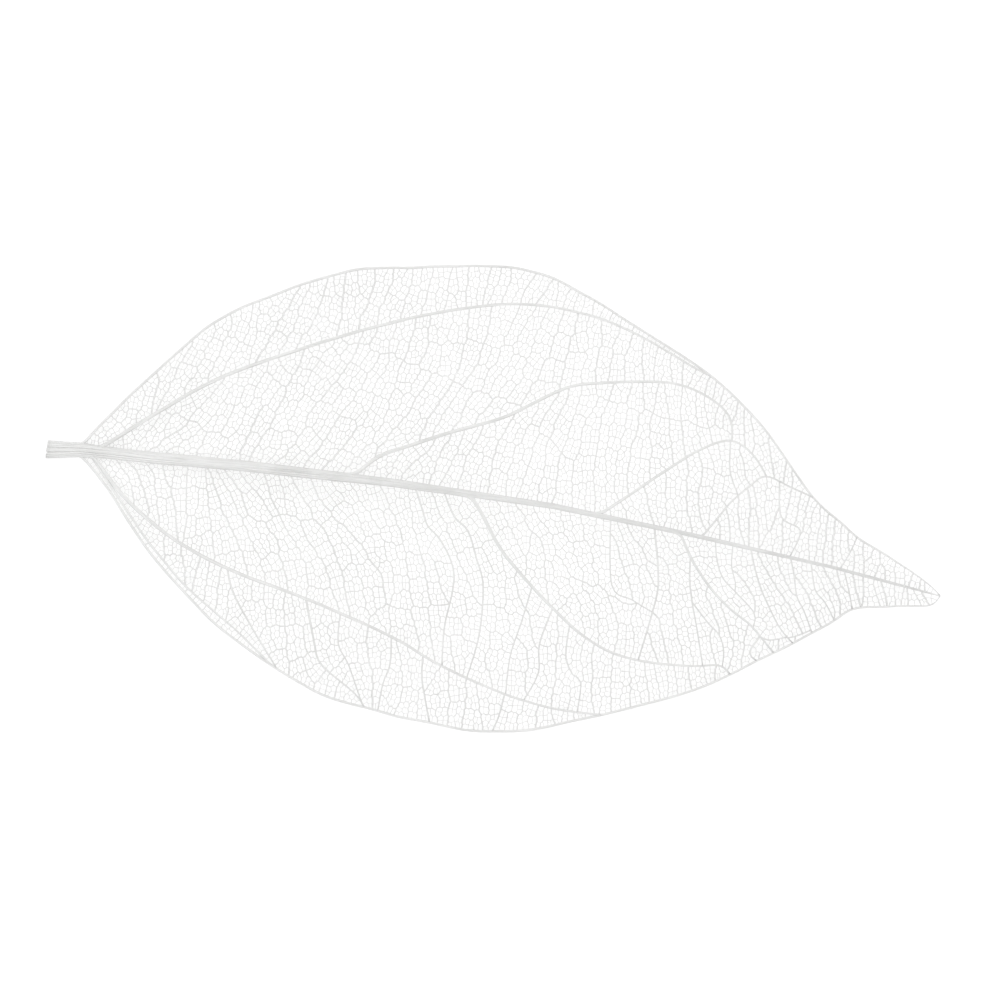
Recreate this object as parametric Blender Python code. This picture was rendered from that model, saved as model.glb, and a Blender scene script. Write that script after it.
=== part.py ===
"""Skeleton leaf: the veins of one leaf, with the flesh gone, lying on a surface.

The leaf lies along X from the cut end of its stalk to its tip, arched over the surface z = 0, and
touches it under the stalk and at one point of each margin. It grew as one piece, so it is one
solid: the stalk, the midrib, the side veins, the margin vein and the net of small veins between
them. The net is drawn flat, where each loop of veins is one face, then bent to the leaf's form.
Each edge between the faces then becomes a bar as thick as its vein, with a ridge above and below.
"""
import math
import random

import bmesh
import bpy
from mathutils import Vector, geometry

NAME = "skeleton_leaf"
MM = 0.001
SEED = 7

# Outline and main veins, in mm from the foot of the blade: along the leaf, then across it
LENGTH = 92.0
MIDRIB = [(0, 0), (8, 0.5), (17, 1.2), (33, 2.1), (50, 2.5), (64, 2), (80, 1.1), (LENGTH, 0)]
UPPER_MARGIN = [
    (0, 0), (3.2, 5.2), (9, 12.5), (12.5, 16.3), (18, 19.8), (25, 23.4), (31.5, 24.8), (39, 26.3),
    (43.5, 26.6), (48, 25.8), (56, 22.6), (65, 18.5), (74, 11.2), (77, 8), (82.5, 4.5), (LENGTH, 0)]
LOWER_MARGIN = [
    (0, 0), (3.6, -3.6), (8.7, -9.3), (13.4, -13.4), (18, -16.2), (23, -18.6), (29, -21), (35, -21.8),
    (45, -22.3), (51.5, -21.3), (60, -18), (67.5, -14.5), (72, -11.6), (80, -5.8), (83, -3), (LENGTH, 0)]
SIDE_VEINS = [
    [(3, 0.2), (13.5, 9.5), (28.4, 17.8), (36, 20.9), (45, 23.2), (54, 23.4)],
    [(29.5, 2), (31, 4.2), (38.5, 8.4), (46.5, 13), (53, 16.1), (61, 17.4), (69.5, 15)],
    [(55, 2.3), (60.6, 7.6), (66, 11.8), (70.3, 12)],
    [(66, 1.9), (68.5, 6.1), (72, 9.3), (76.5, 8.3)],
    [(1, 0.1), (5.4, -4.1), (11.4, -7.6), (18, -9.8), (26.3, -11.4), (35.8, -13.8), (46.6, -17.5),
     (58, -18.9)],
    [(41.8, 2.2), (46.2, -3.5), (53.3, -9), (60, -11.8), (67, -12.2), (72, -11.6)],
    [(64, 2), (66.7, -1.9), (71, -5.2), (76, -8.8)],
    [(72, 1.5), (73.6, -3.5), (78, -7.5)],
]
BRANCH_VEINS = [
    [(17.5, -9.6), (19, -12.7), (24, -18.8)],
    [(26.3, -11.4), (29, -17.8), (34, -21.8)],
    [(39.4, -15.2), (41.2, -22.1)],
    [(46.9, -5), (48.4, -13.7), (48.6, -18)],
    [(61, 2), (62.4, -5.2), (61.7, -11.9)],
]

# Thickness of the veins, in mm
MIDRIB_FOOT = 1.5
MIDRIB_TIP = 0.8
SIDE_VEIN = 1.0
BRANCH_VEIN = 0.85
MARGIN_VEIN = 0.8
NET_VEIN = 0.66
STALK = [((-3.4, -0.5), 2.0), ((-1.4, -0.2), 1.7), ((3.2, 0.2), 1.4)]

# Form over the surface, in mm
ARCH = 6.0
ARCH_START = 1.5
ARCH_SPAN = 101.5
STALK_HEIGHT = 0.6
CREASE = 0.7
WAVE = 2.2
FOOT_REACH = 12.0
TOUCH_REACH = 14.0
UPPER_TOUCH = 53.0
LOWER_TOUCH = 57.0
MARGIN_SINK = 0.28
NARROWEST = 2.0

# Net of small veins
CURVE_STEP = 3.2
LARGEST_LOOP = 10.8
LOOP_SPREAD = 0.1
SNAP = 0.45
TRIES = 24
CUT_SHIFT = 0.12
CUT_TURN = 0.3
CORNER_ROOM = 0.9
CROWDING_COST = 1.5
RELAXINGS = 12
RELAX_SHARE = 0.5
SMALLEST_HOLE = 0.12
CENTRE_SHARES = (0.2, 0.4)
HALVINGS = 12


def smooth_path(points, step):
    """The points joined by one smooth curve, with a corner about every step."""
    knots = [Vector((x, y, 0)) for x, y in points]
    path = [knots[0]]
    for index in range(len(knots) - 1):
        here, there = knots[index], knots[index + 1]
        before = knots[max(index - 1, 0)]
        after = knots[min(index + 2, len(knots) - 1)]
        corners = max(2, round((there - here).length / step) + 1)
        path += geometry.interpolate_bezier(
            here, here + (there - before) / 6, there - (after - here) / 6, there, corners)[1:]
    return path


def height_on(points, x):
    """Second coordinate of a line of points at the given first one."""
    for (x0, y0), (x1, y1) in zip(points, points[1:]):
        if x <= x1:
            return y0 + (y1 - y0) * max(x - x0, 0) / (x1 - x0)
    return points[-1][1]


def midrib_height(x):
    """Height of the midrib's middle, which lies level under the stalk and then arches."""
    climb = math.sin(math.pi * max(x - ARCH_START, 0) / ARCH_SPAN)
    return STALK_HEIGHT + (ARCH - STALK_HEIGHT) * climb


def margin_height(x, touch):
    """Height of a margin, which leaves the stalk's height, rises, and dips where it touches down."""
    dip = math.exp(-((x - touch) / TOUCH_REACH) ** 2)
    rise = WAVE * (1 - math.exp(-max(x, 0) / FOOT_REACH))
    return MARGIN_SINK * dip + (STALK_HEIGHT + rise) * (1 - dip)


def leaf_height(x, y):
    """Height of the arched blade over the surface, at a place on the flat leaf."""
    across = y - height_on(MIDRIB, x)
    margin, touch = (UPPER_MARGIN, UPPER_TOUCH) if across > 0 else (LOWER_MARGIN, LOWER_TOUCH)
    width = max(abs(height_on(margin, x) - height_on(MIDRIB, x)), NARROWEST)
    share = min(abs(across) / width, 1)
    fall = midrib_height(x) - margin_height(x, touch)
    return midrib_height(x) - fall * share ** 2 + CREASE * 4 * share * (1 - share)


def vertex_at(bm, cell, point):
    """The cell's corner nearest the point, or a new one on its nearest vein."""
    nearest = None
    for loop in cell.loops:
        start, end = loop.vert, loop.link_loop_next.vert
        foot, share = geometry.intersect_point_line(point, start.co, end.co)
        share = min(max(share, 0), 1)
        foot = start.co.lerp(end.co, share)
        gap = (foot - point).length
        if nearest is None or gap < nearest[0]:
            nearest = (gap, loop.edge, start, end, share, foot)
    _, edge, start, end, share, foot = nearest
    if (foot - start.co).length < SNAP:
        return start
    if (foot - end.co).length < SNAP:
        return end
    return bmesh.utils.edge_split(edge, start, share)[1]


def grow_vein(bm, cell, path, thickness):
    """Divides a cell by a vein along the path, and gives the new cell."""
    start = vertex_at(bm, cell, path[0])
    end = vertex_at(bm, cell, path[-1])
    if start is end or any(start in edge.verts and end in edge.verts for edge in cell.edges):
        return None
    known = set(cell.edges)
    new_cell, _ = bmesh.utils.face_split(cell, start, end, coords=path[1:-1])
    layer = bm.edges.layers.float["thickness"]
    for edge in (set(cell.edges) | set(new_cell.edges)) - known:
        if edge[layer] == 0:
            edge[layer] = thickness
    return new_cell


def holds(corners, point):
    """Whether a flat outline holds the point."""
    inside = False
    for here, there in zip(corners, corners[1:] + corners[:1]):
        if (here.y > point.y) != (there.y > point.y):
            crossing = here.x + (point.y - here.y) * (there.x - here.x) / (there.y - here.y)
            if crossing > point.x:
                inside = not inside
    return inside


def cell_at(bm, point):
    for cell in bm.faces:
        if holds([vert.co for vert in cell.verts], point):
            return cell
    return None


def shape_of(corners):
    """Area, centre and direction of the long axis of a flat outline."""
    area = sum_x = sum_y = 0
    pairs = list(zip(corners, corners[1:] + corners[:1]))
    for a, b in pairs:
        cross = a.x * b.y - b.x * a.y
        area += cross / 2
        sum_x += (a.x + b.x) * cross / 6
        sum_y += (a.y + b.y) * cross / 6
    centre = Vector((sum_x / area, sum_y / area, 0))
    xx = yy = xy = 0
    for a, b in pairs:
        a, b = a - centre, b - centre
        cross = a.x * b.y - b.x * a.y
        xx += cross * (a.x * a.x + a.x * b.x + b.x * b.x) / 12
        yy += cross * (a.y * a.y + a.y * b.y + b.y * b.y) / 12
        xy += cross * (2 * a.x * a.y + a.x * b.y + b.x * a.y + 2 * b.x * b.y) / 24
    sign = math.copysign(1, area)
    turn = 0.5 * math.atan2(2 * xy * sign, (xx - yy) * sign)
    return abs(area), centre, turn


def chord(cell, through, turn):
    """The stretch of a line through a cell that holds the given point, and how well it meets the
    veins at both ends: square to them, and away from other corners."""
    along = Vector((math.cos(turn), math.sin(turn), 0))
    ahead, behind = None, None
    for loop in cell.loops:
        start, end = loop.vert.co, loop.link_loop_next.vert.co
        side_start = along.cross(start - through).z
        side_end = along.cross(end - through).z
        if (side_start > 0) == (side_end > 0):
            continue
        share = side_start / (side_start - side_end)
        place = start.lerp(end, share)
        distance = (place - through).dot(along)
        vein = end - start
        square = abs(vein.normalized().dot(along))
        room = min(share, 1 - share) * vein.length
        found = (abs(distance), place, square, room)
        if distance > 0 and (ahead is None or found[0] < ahead[0]):
            ahead = found
        if distance <= 0 and (behind is None or found[0] < behind[0]):
            behind = found
    return behind, ahead


def halve(bm, cell, rng):
    """Divides a cell across its long axis, by a small vein."""
    corners = [vert.co for vert in cell.verts]
    area, centre, turn = shape_of(corners)
    size = math.sqrt(area)
    long_axis = Vector((math.cos(turn), math.sin(turn), 0))
    best = None
    for _ in range(TRIES):
        shift = rng.gauss(0, CUT_SHIFT)
        through = centre + long_axis * shift * size
        if not holds(corners, through):
            continue
        ends = chord(cell, through, turn + math.pi / 2 + rng.gauss(0, CUT_TURN))
        if None in ends:
            continue
        cost = abs(shift)
        for distance, _, square, room in ends:
            cost += distance / size + square + CROWDING_COST * max(0, CORNER_ROOM - room)
        if best is None or cost < best[0]:
            best = (cost, [place for _, place, _, _ in ends])
    return grow_vein(bm, cell, best[1], NET_VEIN) if best else None


def fill_with_net(bm, rng):
    """Halves every cell until none is larger than the largest loop of the net."""
    waiting = list(bm.faces)
    while waiting:
        cell = waiting.pop()
        area = shape_of([vert.co for vert in cell.verts])[0]
        if area < LARGEST_LOOP * rng.uniform(1 - LOOP_SPREAD, 1 + LOOP_SPREAD):
            continue
        new_cell = halve(bm, cell, rng)
        if new_cell is not None:
            waiting += [cell, new_cell]


def relax(bm):
    """Moves the corners of the small veins towards the larger loops, which evens the loops out."""
    layer = bm.edges.layers.float["thickness"]
    loose = [vert for vert in bm.verts if all(edge[layer] == NET_VEIN for edge in vert.link_edges)]
    for _ in range(RELAXINGS):
        shapes = {cell: shape_of([vert.co for vert in cell.verts]) for cell in bm.faces}
        for vert in loose:
            around = [shapes[cell] for cell in vert.link_faces]
            pull = sum((centre * area for area, centre, _ in around), Vector())
            target = pull / sum(area for area, _, _ in around)
            vert.co = vert.co.lerp(target, RELAX_SHARE)


def add_half_blade(bm, midrib, margin):
    """One face between the midrib's corners and one margin, whose ends are the midrib's own."""
    corners = [bm.verts.new(place) for place in margin[1:-1]]
    cell = bm.faces.new(midrib + corners[::-1])
    cell.normal_update()
    if cell.normal.z < 0:
        cell.normal_flip()


def flat_leaf(rng):
    """The whole net of veins, drawn flat in mm, with each vein's thickness on its edges."""
    bm = bmesh.new()
    bm.edges.layers.float.new("thickness")
    midrib = [bm.verts.new(place) for place in smooth_path(MIDRIB, CURVE_STEP)]
    for margin in (UPPER_MARGIN, LOWER_MARGIN):
        add_half_blade(bm, midrib, smooth_path(margin, CURVE_STEP))
    layer = bm.edges.layers.float["thickness"]
    for edge in bm.edges:
        share = (edge.verts[0].co.x + edge.verts[1].co.x) / 2 / LENGTH
        inner = len(edge.link_faces) == 2
        edge[layer] = MIDRIB_FOOT + (MIDRIB_TIP - MIDRIB_FOOT) * share if inner else MARGIN_VEIN
    for veins, thickness in ((SIDE_VEINS, SIDE_VEIN), (BRANCH_VEINS, BRANCH_VEIN)):
        for points in veins:
            path = smooth_path(points, CURVE_STEP)
            cell = cell_at(bm, path[len(path) // 2])
            grow_vein(bm, cell, path, thickness)
    fill_with_net(bm, rng)
    relax(bm)
    return bm


def clearance(cell, point, layer):
    """How far a point in a cell lies from the sides of the veins round it."""
    rooms = []
    for edge in cell.edges:
        start, end = (vert.co for vert in edge.verts)
        share = geometry.intersect_point_line(point, start, end)[1]
        foot = start.lerp(end, min(max(share, 0), 1))
        rooms.append((point - foot).length - edge[layer] / 2)
    return min(rooms)


def sees_all_round(corners, point):
    """Whether straight lines from the point reach every corner of an outline."""
    pairs = zip(corners, corners[1:] + corners[:1])
    return all((a - point).cross(b - point).z > 0 for a, b in pairs)


def open_centre(cell, layer):
    """The roomiest of a few places in a cell that see all its corners, or none."""
    corners = [loop.vert.co for loop in cell.loops]
    middle = shape_of(corners)[1]
    places = [middle]
    places += [middle.lerp(corner, share) for corner in corners for share in CENTRE_SHARES]
    places = [place for place in places if sees_all_round(corners, place)]
    rooms = [clearance(cell, place, layer) for place in places]
    if not rooms or max(rooms) < SMALLEST_HOLE:
        return None
    return places[rooms.index(max(rooms))]


def hole_in(cell, layer):
    """The corners of the opening between a cell's veins, one for each corner of the cell, or none
    where the veins leave no room for an opening."""
    centre = open_centre(cell, layer)
    if centre is None:
        return None
    hole = []
    for loop in cell.loops:
        near, far = 0, 1
        for _ in range(HALVINGS):
            middle = (near + far) / 2
            if clearance(cell, loop.vert.co.lerp(centre, middle), layer) < 0:
                near = middle
            else:
                far = middle
        hole.append(loop.vert.co.lerp(centre, far))
    return hole


def on_leaf(place):
    """A place on the flat leaf, lifted to the arched blade."""
    return Vector((place.x, place.y, leaf_height(place.x, place.y)))


def outward(vert):
    """Direction from the leaf's margin away from the blade, at one corner of it."""
    sides = Vector()
    for edge in vert.link_edges:
        if edge.is_boundary:
            loop = edge.link_loops[0]
            along = (loop.link_loop_next.vert.co - loop.vert.co).normalized()
            sides += Vector((along.y, -along.x, 0))
    return sides.normalized()


def vein_solid(flat):
    """One closed solid of bars along the edges of the flat net, lifted to the leaf's form. A bar
    has a ridge above and below its vein, and its sides meet those of its neighbours in a hole."""
    layer = flat.edges.layers.float["thickness"]
    solid = bmesh.new()
    ridges = {}
    rims = {}
    for vert in flat.verts:
        half = max(edge[layer] for edge in vert.link_edges) / 2
        place = on_leaf(vert.co)
        ridges[vert] = [solid.verts.new(place + Vector((0, 0, side * half))) for side in (1, -1)]
        if vert.is_boundary:
            rims[vert] = solid.verts.new(on_leaf(vert.co + outward(vert) * half))
    for cell in flat.faces:
        verts = [loop.vert for loop in cell.loops]
        hole = hole_in(cell, layer)
        if hole is None:
            solid.faces.new([ridges[vert][0] for vert in verts])
            solid.faces.new([ridges[vert][1] for vert in reversed(verts)])
            continue
        ring = [solid.verts.new(on_leaf(place)) for place in hole]
        for index, vert in enumerate(verts):
            after = (index + 1) % len(verts)
            add_bar_side(solid, ridges[vert], ridges[verts[after]], ring[index], ring[after])
    for edge in flat.edges:
        if edge.is_boundary:
            loop = edge.link_loops[0]
            end, start = loop.vert, loop.link_loop_next.vert
            add_bar_side(solid, ridges[start], ridges[end], rims[start], rims[end])
    flat.free()
    return solid


def add_bar_side(solid, start, end, low_start, low_end):
    """The upper and lower slope of one side of a bar, split alike so that they never cross."""
    solid.faces.new((start[0], end[0], low_end))
    solid.faces.new((start[0], low_end, low_start))
    solid.faces.new((end[1], start[1], low_end))
    solid.faces.new((start[1], low_start, low_end))


def vein_object(solid):
    bmesh.ops.scale(solid, verts=solid.verts, vec=(MM, MM, MM))
    mesh = bpy.data.meshes.new(NAME)
    solid.to_mesh(mesh)
    solid.free()
    return bpy.data.objects.new(NAME, mesh)


def stalk_tube():
    """The stalk and the foot of the midrib, as a closed tapered tube."""
    curve = bpy.data.curves.new("stalk", "CURVE")
    curve.dimensions = "3D"
    curve.bevel_depth = MM / 2
    curve.bevel_resolution = 2
    curve.use_fill_caps = True
    spline = curve.splines.new("POLY")
    spline.points.add(len(STALK) - 1)
    for point, ((x, y), thickness) in zip(spline.points, STALK):
        point.co = (x * MM, y * MM, midrib_height(x) * MM, 1)
        point.radius = thickness
    return curve


def mesh_object(name, source):
    """A mesh object with the evaluated shape of the source, which is removed."""
    graph = bpy.context.evaluated_depsgraph_get()
    mesh = bpy.data.meshes.new_from_object(source.evaluated_get(graph))
    bm = bmesh.new()
    bm.from_mesh(mesh)
    bmesh.ops.remove_doubles(bm, verts=bm.verts, dist=1e-6)
    bm.to_mesh(mesh)
    bm.free()
    shape = bpy.data.objects.new(name, mesh)
    shape.matrix_world = source.matrix_world
    bpy.data.objects.remove(source)
    return shape


def combine(leaf, other, operation):
    """Joins another closed shape to the leaf, or takes it away."""
    change = leaf.modifiers.new(other.name, "BOOLEAN")
    change.operation = operation
    change.object = other
    change.solver = "EXACT"


def surface_block():
    """A block under the surface, which cuts the low points of the leaf flat."""
    mesh = bpy.data.meshes.new("surface")
    bm = bmesh.new()
    bmesh.ops.create_cube(bm, size=2 * LENGTH * MM)
    bmesh.ops.translate(bm, verts=bm.verts, vec=(LENGTH * MM / 2, 0, -LENGTH * MM))
    bm.to_mesh(mesh)
    bm.free()
    return bpy.data.objects.new("surface", mesh)


def hide(cutter):
    cutter.hide_render = True
    cutter.display_type = "WIRE"


def vein_material():
    material = bpy.data.materials.new("bleached vein")
    material.use_nodes = True
    shader = material.node_tree.nodes["Principled BSDF"]
    shader.inputs["Base Color"].default_value = (0.8, 0.8, 0.79, 1)
    shader.inputs["Roughness"].default_value = 0.7
    shader.inputs["Metallic"].default_value = 0
    return material


def main():
    for thing in list(bpy.data.objects):
        bpy.data.objects.remove(thing)
    parts = bpy.data.collections.new(NAME)
    cutters = bpy.data.collections.new("cutters")
    for collection in (parts, cutters):
        bpy.context.scene.collection.children.link(collection)
    leaf = vein_object(vein_solid(flat_leaf(random.Random(SEED))))
    leaf.data.materials.append(vein_material())
    parts.objects.link(leaf)
    curve = bpy.data.objects.new("stalk curve", stalk_tube())
    cutters.objects.link(curve)
    bpy.context.view_layer.update()
    stalk = mesh_object("stalk", curve)
    surface = surface_block()
    for cutter, operation in ((stalk, "UNION"), (surface, "DIFFERENCE")):
        cutters.objects.link(cutter)
        hide(cutter)
        combine(leaf, cutter, operation)


main()
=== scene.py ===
"""Skeleton leaf, dressed: every vein of the leaf, down to the loops that once held its flesh.

The net of veins is drawn flat, in mm, as a mesh whose faces are the loops between the veins. The
main veins divide the two half blades first, then the ladder veins between them, and then each loop
is halved again and again down to the smallest, some of which hold a vein that ends free. Every edge
of that mesh becomes a bar as thick as its vein, lifted to the form of the arched leaf. The midrib,
the stalk, the side veins and the margins carry bundles of fibres on top of their bars.
"""
import math
import random

import bmesh
import bpy
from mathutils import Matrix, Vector, geometry, noise


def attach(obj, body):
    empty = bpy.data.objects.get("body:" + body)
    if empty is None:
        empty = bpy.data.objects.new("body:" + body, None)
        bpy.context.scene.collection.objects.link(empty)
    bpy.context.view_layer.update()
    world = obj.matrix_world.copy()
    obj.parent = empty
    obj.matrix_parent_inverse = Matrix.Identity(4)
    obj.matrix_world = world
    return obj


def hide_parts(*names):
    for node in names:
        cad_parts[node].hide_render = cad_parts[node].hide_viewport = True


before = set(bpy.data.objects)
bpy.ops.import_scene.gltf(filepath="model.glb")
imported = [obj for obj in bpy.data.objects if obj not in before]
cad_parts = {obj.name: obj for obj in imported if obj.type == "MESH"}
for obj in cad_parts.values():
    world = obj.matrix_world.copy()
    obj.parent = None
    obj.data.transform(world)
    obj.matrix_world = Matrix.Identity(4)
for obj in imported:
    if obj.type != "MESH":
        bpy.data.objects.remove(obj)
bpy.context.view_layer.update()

NODE = "skeleton_leaf"
BODY = "root"
MM = 0.001
SEED = 11

# Outline and midrib, in mm from the foot of the blade: along the leaf, then across it
LENGTH = 92.0
MIDRIB = [
    (-4, -0.6), (0, 0), (8, 0.5), (17, 1.2), (33, 2.1), (50, 2.5), (64, 2), (80, 1.1), (LENGTH, 0)]
UPPER_MARGIN = [
    (0, 0.5), (3.2, 5.2), (9, 12.5), (12.5, 16.3), (18, 19.8), (25, 23.4), (31.5, 24.8), (39, 26.3),
    (43.5, 26.6), (48, 25.8), (56, 22.6), (65, 18.5), (71.5, 13.6), (77, 8), (80.5, 5.8), (82.3, 4.6),
    (86.3, 3), (90, 1.3), (91.5, 0.5), (LENGTH, 0)]
LOWER_MARGIN = [
    (0, -0.5), (3.6, -3.6), (8.6, -9), (12.6, -12.3), (17.4, -15.8), (23, -18.6), (29, -21),
    (35, -21.8), (45, -22.3), (51.5, -21.3), (60, -18), (67.5, -14.5), (72, -11.6), (80.5, -5.2),
    (83.1, -2.9), (87, -2), (91, -1.2), (91.7, -0.8), (LENGTH, 0)]

# Side veins: thickness at the root and at the end, then places from the midrib outwards
SIDE_VEINS = [
    (0.17, 0.15, [(81, 1.1), (81.7, 2.9), (82.3, 4.6)]),
    (0.21, 0.18, [(66, 1.9), (67.3, 4.1), (68.5, 6.1), (70.2, 8.1), (71.7, 9.3), (74.6, 8.6), (77, 8)]),
    (0.32, 0.2, [(55, 2.3), (60.6, 7.6), (64.1, 10.7), (67.5, 12.5), (70.3, 11.1), (71.7, 9.3)]),
    (0.42, 0.22, [(29.2, 2), (31, 4.4), (34.3, 6.2), (38.5, 8.4), (43.8, 10.9), (49.2, 14.8),
                  (53.1, 16.1), (60.9, 17.4), (65.6, 16), (67.3, 14.5), (67.5, 12.5)]),
    (0.42, 0.22, [(1.5, 0.1), (8.1, 5.8), (13.5, 10), (20.9, 14.1), (28.4, 17.8), (36, 20.9),
                  (43.8, 23), (51.9, 22.9), (58.3, 21.1), (62.2, 19.5), (66, 18.4)]),
    (0.17, 0.14, [(81.4, 1), (82.2, -0.9), (83.1, -3)]),
    (0.17, 0.14, [(77.8, 1.3), (78.7, -1.5), (80, -2.7), (81.4, -4.4)]),
    (0.18, 0.14, [(75.6, 1.4), (76.3, -0.5), (76.9, -2.5), (78, -4), (79.5, -6.4)]),
    (0.2, 0.15, [(71.3, 1.7), (71.9, 0), (72.8, -1.9), (73.8, -3.5), (75.7, -6), (77.9, -7.8)]),
    (0.31, 0.2, [(63.8, 2), (65.3, -0.5), (67.2, -2.6), (68.8, -4), (71, -5.5), (72.5, -6.1),
                 (73.4, -6.9), (74.1, -7.5), (75.9, -9)]),
    (0.24, 0.16, [(73.9, -7.3), (73.2, -9.3), (74.8, -10.3)]),
    (0.2, 0.16, [(73.9, -7.4), (74.9, -7.6), (76.9, -6.9)]),
    (0.17, 0.15, [(77, -7), (77.9, -6.6), (79.2, -5.8)]),
    (0.4, 0.2, [(41.4, 2.3), (42.9, 0.6), (46.2, -3.5), (53.3, -9), (57.7, -11.3), (61.9, -12),
                (67.9, -11.6), (70.3, -10.9), (71.2, -11.3), (71.9, -12.2)]),
    (0.42, 0.22, [(1, 0), (5.4, -4.1), (11.4, -7.6), (18, -9.8), (26.3, -11.4), (35.8, -13.8),
                  (41.2, -15.9), (48.7, -17.9), (54.5, -18.6), (59.5, -18.4)]),
    (0.28, 0.2, [(2, -1.3), (6, -5.5), (8.4, -8), (12.2, -11.3), (14.2, -12.8), (17.4, -14.7),
                 (20.3, -16.5), (24.1, -19.2)]),
]
# Branches between the side veins, as far as they can be told apart on the leaf
BRANCH_VEINS = [
    (0.22, 0.18, [(17.5, -9.6), (19, -12.7), (24, -18.8)]),
    (0.24, 0.18, [(26.3, -11.4), (27.8, -15.6), (29, -18), (32.9, -20.4), (34.3, -21.9)]),
    (0.2, 0.17, [(39.4, -15.2), (39.7, -17.8), (41.2, -22.2)]),
    (0.17, 0.14, [(49.4, -6.2), (49, -9.7), (48.4, -13.7), (48.6, -18)]),
    (0.22, 0.17, [(61, 2), (62.1, -2.3), (62.4, -5.2), (61.7, -12.1)]),
    (0.19, 0.16, [(48.5, -17.9), (48.3, -20.2), (47.9, -22)]),
    (0.18, 0.15, [(35.8, -13.9), (36.1, -16.8), (35.7, -18.9), (35.6, -21.9)]),
    (0.17, 0.15, [(30.1, -12.2), (30.4, -15.5), (31.8, -17.5), (33.6, -20.9)]),
    (0.2, 0.16, [(38.6, 2.2), (40.2, -0.3), (41.8, -1.5), (43.1, -4), (44.4, -7.1), (44.8, -12.3),
                 (44.3, -16.6)]),
    (0.19, 0.16, [(35.6, 2.1), (36.8, -0.2), (37.6, -1.7), (39.3, -3.1), (41.2, -6.4), (41.1, -11.9),
                  (41.5, -16)]),
    (0.18, 0.16, [(67.4, 12.4), (67.8, 9.3), (69, 6.9)]),
    (0.18, 0.16, [(73.2, 8.9), (73.9, 5.4), (76.1, 4.3), (75.5, 1.4)]),
    (0.18, 0.15, [(65.2, -0.3), (65.5, -2.6), (66.2, -5), (67.2, -7.7), (68.6, -11.6)]),
    (0.17, 0.14, [(66.1, -4.9), (68.3, -6.9), (69.6, -7.9), (70.4, -9.4), (70.6, -11)]),
    (0.16, 0.14, [(67.5, 1.9), (68, -0.2), (68.9, -1.9), (70.4, -3.1), (72.8, -5), (73, -6.4)]),
    (0.15, 0.13, [(69.4, 1.7), (69.6, -0.5), (70.3, -2.2), (70.4, -3.1)]),
    (0.19, 0.15, [(51.9, -8.2), (51.2, -12), (51.6, -15), (50.6, -18.2)]),
    (0.17, 0.14, [(54, -9.5), (54, -11), (54.2, -13), (55.2, -14.6), (56.2, -15.3), (56.4, -18.4)]),
    (0.16, 0.14, [(56.3, 2.3), (57.6, -4.6), (60, -5.8), (62.3, -6.7)]),
]

# Half the width and half the height of the midrib and stalk, along the leaf
MIDRIB_WIDTH = [(-4, 0.98), (-1.4, 0.82), (3, 0.62), (14, 0.57), (24, 0.52), (30, 0.44), (38, 0.37),
                (47, 0.3), (60, 0.23), (75, 0.185), (86, 0.155), (LENGTH, 0.09)]
MIDRIB_TALL = [(-4, 0.56), (3, 0.52), (14, 0.5), (30, 0.42), (47, 0.31), (60, 0.23), (75, 0.165),
               (86, 0.12), (LENGTH, 0.07)]

# Form over the surface, in mm: the arch of the midrib, the margins, which touch down at one place
# each, the crease along the midrib, and the blade's billows
ARCH = 6.1
ARCH_START = 1.5
ARCH_SPAN = 101.5
STALK_HEIGHT = 0.6
CREASE = 0.7
CREASE_REACH = 6.0
WAVE = 2.2
FOOT_REACH = 12.0
TOUCH_REACH = 14.0
UPPER_TOUCH = 53.0
LOWER_TOUCH = 57.0
MARGIN_SINK = 0.16
NARROWEST = 2.0
BILLOW = 0.3
BILLOW_SIZE = 9.0
BILLOW_ROOT = 0.25

# Drawing the net, in mm: the steps of a curve, and the lengths under which places count as one
CURVE_STEP = 1.0
END_ROOM = CURVE_STEP / 3
REACH = 5.0
SNAP = 0.14
LEAST_LENGTH = SNAP / 10
LEAST_SQUARE = SNAP ** 4

# Edges of the two half blades
INNER_EDGE = 0.5
INNER_THICKNESS = 0.1
MARGIN_THICKNESS = (0.28, 0.24)
TIP_TAPER = [(0, 1), (84, 1), (LENGTH, 0.5)]
MARGIN_RIPPLE = 0.14
MARGIN_RIPPLE_SIZE = 3.6

# Ladder veins, which run from one main vein to the next, and the links between them
LADDER_STEP = 0.8
LADDER_WIDTH = [(0, 3), (50, 2.7), (62, 2.2), (72, 1.8), (80, 1.5), (LENGTH, 1.3)]
LADDER_THICKNESS = (0.12, 0.18)
LADDER_WAVES = [(0.4, 8.0), (0.55, 1.9)]
LADDER_LENGTH = 16.0
LADDER_LENGTHS = (0.6, 1.4)
LADDER_ROOM = 0.6
LADDER_TRIES = 5
LADDER_SHIFT_WIDTH = 6
LINK_SHIFT = LADDER_LENGTH / 6
LINK_TURN = 0.35
LOWER_LEAN = 38.0
UPPER_LEAN = [(0, 34), (45, 20), (62, -20), (LENGTH, -12)]
LEAN_LOSS = 0.8

# Small loops: the largest area of each round, in square mm, and how often it is evened out
LOOPS = [(2.2, 4), (0.85, 4), (0.44, 5)]
LAST_ROUNDS = 2
LOOP_SPREAD = 0.2
SMALLEST_LOOP = 0.11
TRIES = 10
CUT_SHIFT = 0.12
CUT_TURN = 0.28
GRAIN = 1.35
CORNER_ROOM = 0.25
CROWDING_COST = 1.5
TIE_POWER = 1.6
RELAX_SHARE = 0.5
STRAIGHTENING = [(0.06, 0.32), (0.1, 0.5), (0.15, 0.8)]

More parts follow.
